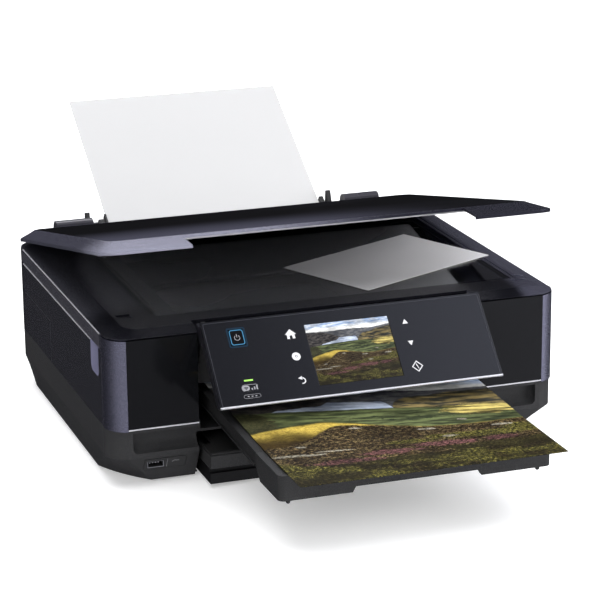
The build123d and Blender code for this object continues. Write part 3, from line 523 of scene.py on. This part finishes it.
BLACK = gloss("piano_black", (0.0036, 0.0038, 0.0046), specular=0.2)
PANEL = gloss("panel_black", (0.0060, 0.0062, 0.0078), specular=0.5, rough=0.07)
LID_TOP_PAINTED_SHEEN = lid_black_painted_sheen()
SIDE = side_black_painted_recess_light()
BEZEL_PAINTED_HIGHLIGHT = lid_rim_painted_highlight()
VIOLET_PAINTED_LIGHT = pillar_satin_painted_light()
FRAME_PAINTED_LIGHT = frame_satin_painted_light()
SHELL = gloss("violet_black", (0.034, 0.033, 0.040), specular=0.4, rough=0.28)
HOUSING = gloss("housing_black", (0.0120, 0.0118, 0.0150), specular=0.4, rough=0.28)
MATTE = matte("textured_black", (0.026, 0.026, 0.027))
DARK = matte("dark_textured_black", (0.0125, 0.0125, 0.013), rough=0.5)
GREY = matte("tray_grey", (0.020, 0.020, 0.0205), rough=0.5)
COVER = matte("cassette_grey", (0.018, 0.018, 0.0185), rough=0.45)
LOW = matte("cassette_black", (0.0030, 0.0030, 0.0032), rough=0.5)
INNER = matte("moulded_grey", (0.03, 0.03, 0.032), rough=0.6)
TRIM = metal("polished_trim", (0.86, 0.86, 0.90), 0.3)
TRIM.to("Metallic", 0.55)
STEEL = metal("pressed_steel", (0.52, 0.53, 0.55), 0.34)
RUBBER = matte("black_rubber", (0.018, 0.018, 0.018), rough=0.75, specular=0.15, grain=900)
ACETAL = matte("natural_acetal", (0.62, 0.61, 0.57), rough=0.42, spread=0.05)
PRINT_BACK_PAINTED_SHADE = print_back_painted_shade()
SHEET = paper("plain_paper", (0.455, 0.455, 0.455))
FOAM = matte("white_foam_sheet", (0.50, 0.50, 0.52), rough=0.8, spread=0.05, grain=2200)
DRESS = {
    BLACK: ["front_panels", "duplex_cover", "power_button"],
    PANEL: ["control_panel_glass"],
    LID_TOP_PAINTED_SHEEN: ["lid_panel"],
    SIDE: ["left_side_panel", "right_side_panel", "rear_panel"],
    VIOLET_PAINTED_LIGHT: ["corner_pillars"],
    BEZEL_PAINTED_HIGHLIGHT: ["lid_bezel"],
    FRAME_PAINTED_LIGHT: ["scanner_frame"],
    SHELL: ["scanner_housing", "lid_hinge_covers"],
    HOUSING: ["control_panel_housing"],
    MATTE: [
        "base_tray",
        "front_bulkhead",
        "photo_cassette",
        "tray_deck",
        "rear_flap",
        "paper_support",
        "sliding_edge_guide",
        "cassette_guide",
        "usb_port",
        "power_inlet",
    ],
    DARK: ["tray_plate"],
    LOW: ["main_cassette"],
    GREY: ["tray_cap"],
    COVER: ["photo_cassette_cover"],
    INNER: ["platen", "cap_station", "print_carriage", "ink_cartridges", "scan_bar", "rear_feed_chute"],
    TRIM: ["base_trims", "scanner_trims", "control_panel_trim"],
    STEEL: [
        "chassis",
        "carriage_rail",
        "scanner_hinge_brackets",
        "lid_hinge_pins",
        "screws",
        "drive_motors",
        "power_supply",
    ],
    RUBBER: ["feet", "feed_roller", "exit_roller", "pinch_rollers", "carriage_belt"],
    ACETAL: ["idler_gear", "motor_pinion", "drive_pulley", "idler_pulley"],
    PRINT_BACK_PAINTED_SHADE: ["document"],
    SHEET: ["rear_sheet"],
    FOAM: ["lid_mat"],
    flatbed(): ["scan_glass"],
    board(): ["main_board"],
    screen(): ["display"],
    printed_paper(): ["printed_sheet"],
}


def dress(obj, look):
    obj.data.materials.clear()
    obj.data.materials.append(look.material)


for look, names in DRESS.items():
    for name in names:
        dress(NODES[name], look)

# ---------------------------------------------------------------- marks


def inked(name, shapes, look, body, origin, right, up, lift=0.00006, thick=0.00005):
    """Thin raised marks: closed outlines in millimetres, holes inside them, on a plane."""
    curve = bpy.data.curves.new(name, "CURVE")
    curve.dimensions, curve.fill_mode, curve.extrude = "2D", "BOTH", thick
    for shape in shapes:
        line = curve.splines.new("POLY")
        line.points.add(len(shape) - 1)
        for p, (x, y) in zip(line.points, shape):
            p.co = (x * MM, y * MM, 0, 1)
        line.use_cyclic_u = True
    draft = bpy.data.objects.new(name + "_draft", curve)
    bpy.context.collection.objects.link(draft)
    mesh = bpy.data.meshes.new_from_object(draft)
    bpy.data.objects.remove(draft)
    out = right.cross(up)
    for p in mesh.vertices:
        p.co = origin + right * p.co.x + up * p.co.y + out * (p.co.z + lift)
    piece = bpy.data.objects.new(name, mesh)
    bpy.context.collection.objects.link(piece)
    dress(piece, look)
    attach(piece, body)
    return piece


def arc(cx, cy, r, start, end, n=24):
    angles = [math.radians(start + (end - start) * k / n) for k in range(n + 1)]
    return [(cx + r * math.cos(a), cy + r * math.sin(a)) for a in angles]


def ring(cx, cy, r, width):
    return [arc(cx, cy, r, 0, 360)[:-1], arc(cx, cy, r - width, 360, 0)[:-1]]


def stroke(cx, cy, r, width, start, end):
    return [arc(cx, cy, r, start, end) + arc(cx, cy, r - width, end, start)]


def rounded(cx, cy, w, h, r):
    shape = []
    for sx, sy, a in ((1, 1, 0), (-1, 1, 90), (-1, -1, 180), (1, -1, 270)):
        shape += arc(cx + sx * (w / 2 - r), cy + sy * (h / 2 - r), r, a, a + 90, 6)
    return shape


def outline(cx, cy, w, h, r, width):
    inside = rounded(cx, cy, w - 2 * width, h - 2 * width, max(r - width, 0.05))
    return [rounded(cx, cy, w, h, r), inside[::-1]]


def placed(shape, x, y, size=1.0):
    return [(x + size * px, y + size * py) for px, py in shape]


WHITE_INK = matte("white_ink", (0.62, 0.62, 0.64), rough=0.5, spread=0.08, depth=0.00001)
PALE_INK = matte("pale_ink", (0.26, 0.26, 0.28), rough=0.5, spread=0.08, depth=0.00001)
PORT_INK = matte("port_ink", (0.22, 0.22, 0.23), rough=0.5, spread=0.08, depth=0.00001)
# painted highlight colour for the thin line round the panel's edge
RIM_HIGHLIGHT_INK = matte("rim_painted_highlight", (0.055, 0.056, 0.068), rough=0.4, spread=0.1, depth=0.00001)
SEAM = matte("seam_grey", (0.040, 0.040, 0.046), rough=0.4, spread=0.1, depth=0.00001)


def on_panel(name, shapes, look, body="control_panel", **extra):
    return inked(name, shapes, look, body, PANEL_EDGE, X_AXIS, -DOWN, **extra)


def panel_marks():
    """The panel's icons, badges and lights, and a painted highlight round its edge, in millimetres right
    of its middle and up from its top.
    """
    left, right = -48.5, 49.8
    roof = [(-3.4, -0.2), (0, 3.1), (3.4, -0.2), (2.4, -0.2)]
    rooms = [(2.4, -3.0), (0.8, -3.0), (0.8, -0.9), (-0.8, -0.9), (-0.8, -3.0), (-2.4, -3.0)]
    home = placed(roof + rooms + [(-2.4, -0.2)], left, -18.7, 1.4)
    disc = ring(left, -38.9, 3.6, 2.6) + stroke(left, -38.9, 0.6, 0.55, 0, 350)
    back = [placed(part, left, -60.6, 1.2) for part in stroke(0, 0, 2.4, 0.8, -110, 95)]
    back.append(placed([(0.1, 3.4), (-2.8, 2.0), (0.1, 0.6)], left, -60.6, 1.2))
    up = placed([(-1.8, -1.4), (1.8, -1.4), (0, 1.7)], right, -19.0, 1.35)
    down = placed([(-1.8, 1.4), (0, -1.7), (1.8, 1.4)], right, -38.6, 1.35)
    outer = placed([(0, 4.3), (-4.1, 0), (0, -4.3), (4.1, 0)], right, -59.9, 1.2)
    inner = placed([(0, 3.3), (3.1, 0), (0, -3.3), (-3.1, 0)], right, -59.9, 1.2)
    bar = placed([(-0.9, 1.9), (-0.3, 1.9), (0.9, -1.9), (0.3, -1.9)], right, -59.9, 1.2)
    on_panel("panel_icons", [home, *disc, *back, up, down, outer, inner, bar], WHITE_INK)
    badge = outline(-92.3, -61.4, 14.4, 6.0, 2.9, 0.4)
    badge += [rounded(-95.9, -61.4, 6.2, 4.7, 2.2)]
    badge += [rounded(-91.0 + 2.1 * k, -62.6 + 0.6 * k, 1.2, 1.6 + 1.2 * k, 0.3) for k in range(3)]
    on_panel("wireless_badge", badge, PALE_INK)
    waves = [ring_part for r in (1.0, 1.9, 2.8) for ring_part in stroke(-95.9, -63.1, r, 0.5, 45, 135)]
    on_panel("wireless_waves", waves, PANEL, lift=0.00014)
    dots = [rounded(-92.3 + k, -68.8, 1.6, 0.9, 0.4) for k in (-3.2, 0, 3.2)]
    on_panel("network_badge", outline(-92.3, -68.8, 14.0, 3.4, 1.6, 0.3) + dots, PALE_INK)
    green = glow("green_light", (0.36, 0.75, 0.12), 1.3)
    on_panel("wireless_light", [rounded(-92.3, -54.8, 7.4, 1.3, 0.3)], green)
    # painted glow: a faint emitting band round the power button stands in for the light spilling from it
    haze = glow("blue_haze", (0.004, 0.018, 0.036), 1.0)
    on_panel("power_glow", outline(-92.9, -16.5, 15.6, 17.8, 1.8, 1.5), haze)
    light = glow("blue_light", (0.05, 0.24, 0.44), 1.0)
    # painted highlight: a thin light line round the panel glass stands in for the light on its edges
    low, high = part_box("control_panel_glass")
    across, along = (high.x - low.x) / MM, (high.z - low.z) / MM / math.cos(LEAN)
    rim = outline((low.x + high.x) / 2 / MM, -along / 2, across - 3.4, along - 3.0, 1.6, 0.3)
    on_panel("panel_rim_painted_highlight", rim, RIM_HIGHLIGHT_INK)
    low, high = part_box("power_button")
    wide = (high.x - low.x) / MM - 0.6
    square = outline(-92.9, -16.5, wide, wide + 2, 2.0, 0.6)
    on_panel("power_light_ring", square, light, "power_button", lift=0.00036)
    symbol = stroke(-92.9, -16.9, 2.5, 0.55, 120, 420) + [rounded(-92.9, -15.0, 0.6, 3.0, 0.25)]
    on_panel("power_symbol", symbol, PALE_INK, "power_button", lift=0.00036)


def base_marks():
    """The memory port's metal mouth and mark, and the seams in the side walls."""
    mouth = Vector((0, FRONT + 0.0063, 0))
    shell = outline(-157.0, 19.2, 13.6, 5.4, 0.5, 0.45)
    inked("port_shell", shell, STEEL, "base", mouth, X_AXIS, Z_AXIS, lift=0.00002)
    contacts = [rounded(-157.0 + k, 18.9, 1.1, 0.9, 0.1) for k in (-3.6, -1.2, 1.2, 3.6)]
    inked("port_contacts", contacts, TRIM, "base", mouth, X_AXIS, Z_AXIS, lift=-0.00485)
    slope = Vector((0, -14.5, 25)).normalized()
    face = Vector((0, FRONT + 0.00672, 0.0192))
    mark = stroke(-140.5, -1.0, 3.2, 0.6, 60, 150) + [rounded(-138.2, 1.4, 1.6, 1.6, 0.7)]
    mark.append(rounded(-147.2, 0, 0.3, 9.6, 0.1))
    inked("port_mark", mark, PORT_INK, "base", face, X_AXIS, slope)
    seams = {
        "upper": (246.5, 88.8, 94.0, 0.35),
        "middle": (199.5, 69.5, 0.35, 37.6),
        "lower": (63.0, 39.0, 0.35, 23.6),
    }
    for side, end in ((-1, "left"), (1, "right")):
        wall = Vector((side * HALF, FRONT, 0))
        for name, (away, up, length, height) in seams.items():
            seam = rounded(side * away, up, length, height, 0.1)
            flush = {"lift": 0.00002, "thick": 0.00002}
            inked(f"{end}_seam_{name}", [seam], SEAM, "base", wall, side * Y_AXIS, Z_AXIS, **flush)


panel_marks()
base_marks()

# ---------------------------------------------------------------- studio


def add_floor():
    """A plain white floor that brightens into the distance."""
    mesh = bpy.data.meshes.new("studio_floor")
    s = 7.0
    mesh.from_pydata([(-s, -s, 0), (s, -s, 0), (s, s, 0), (-s, s, 0)], [], [(0, 1, 2, 3)])
    floor = bpy.data.objects.new("studio_floor", mesh)
    bpy.context.collection.objects.link(floor)
    look = Look("studio_white", (0.86, 0.86, 0.86), Roughness=0.9, Specular_IOR_Level=0.0)
    look.to("Base Color", look.mix(look.noise(3, 3), (0.86, 0.86, 0.86), (0.88, 0.88, 0.88)))
    x, y, _ = look.axes()
    away = look.math("ADD", look.math("MULTIPLY", x, x), look.math("MULTIPLY", y, y))
    look.to("Emission Color", look.mix(look.span(away, 0.5, 4.0), (0.35, 0.35, 0.35), (1, 1, 1)))
    look.shader.inputs["Emission Strength"].default_value = 1.0
    dress(floor, look)
    floor.visible_glossy = False


def add_light(name, at, aim, size, power, colour=(1, 1, 1), glossy=True):
    data = bpy.data.lights.new(name, "AREA")
    data.shape, data.size, data.size_y = "RECTANGLE", size[0], size[1]
    data.energy, data.color = power, colour
    lamp = bpy.data.objects.new(name, data)
    lamp.location = at
    lamp.rotation_mode = "QUATERNION"
    lamp.rotation_quaternion = (Vector(aim) - Vector(at)).to_track_quat("-Z", "Y")
    lamp.visible_glossy = glossy
    bpy.context.collection.objects.link(lamp)


class Sky(Look):
    """The room round the set, as light from each direction."""

    def __init__(self):
        world = bpy.data.worlds.new("studio")
        world.use_nodes = True
        self.tree = world.node_tree
        self.where = self.node("TexCoord").outputs["Generated"]
        bpy.context.scene.world = world

    def paint(self, colour, strength):
        back = self.tree.nodes["Background"]
        self.feed(back.inputs[0], colour)
        back.inputs[1].default_value = strength


def add_world():
    """Dim behind, pale in front and below, and brighter overhead to the right."""
    sky = Sky()
    x, y, z = sky.axes()
    front = sky.math("MULTIPLY", sky.span(y, 0.25, -0.75), sky.span(z, 0.25, -0.1))
    card = sky.mix(sky.span(x, 0.24, 0.40), (0.34, 0.34, 0.37), (0.95, 0.95, 1.03))
    room = sky.mix(front, (0.050, 0.050, 0.060), card)
    over = sky.math("MULTIPLY", sky.span(z, 0.45, 0.80), sky.span(x, 0.24, 0.42))
    over = sky.math("MULTIPLY", over, sky.span(y, 0.1, -0.15))
    room = sky.mix(over, room, (0.95, 1.0, 1.22))
    sky.paint(room, 1.0)


def add_studio():
    add_floor()
    add_world()
    add_light("high_fill", (0.0, -0.2, 3.2), (0, 0.3, 0), (4, 4), 150, glossy=False)
    add_light("left_key", (-1.5, -2.0, 1.4), (0, 0, 0.08), (1.6, 1.2), 28, glossy=False)
    add_light("right_low_fill", (1.7, -1.7, 0.75), (0.05, 0, 0.12), (1.4, 0.8), 34, glossy=False)
    add_light("back_softbox", (-0.15, 1.25, 1.75), (-0.1, -0.1, 0.15), (1.1, 0.8), 20, (0.95, 0.95, 1.0))
    beside = (0.46, FRONT - 0.02, 0.40)
    add_light("glass_glow", beside, (0.12, 0.0, 0.13), (0.25, 0.2), 0.9, (0.98, 0.98, 1.0))
    bpy.context.scene.view_settings.view_transform = "Standard"


add_camera()
add_studio()
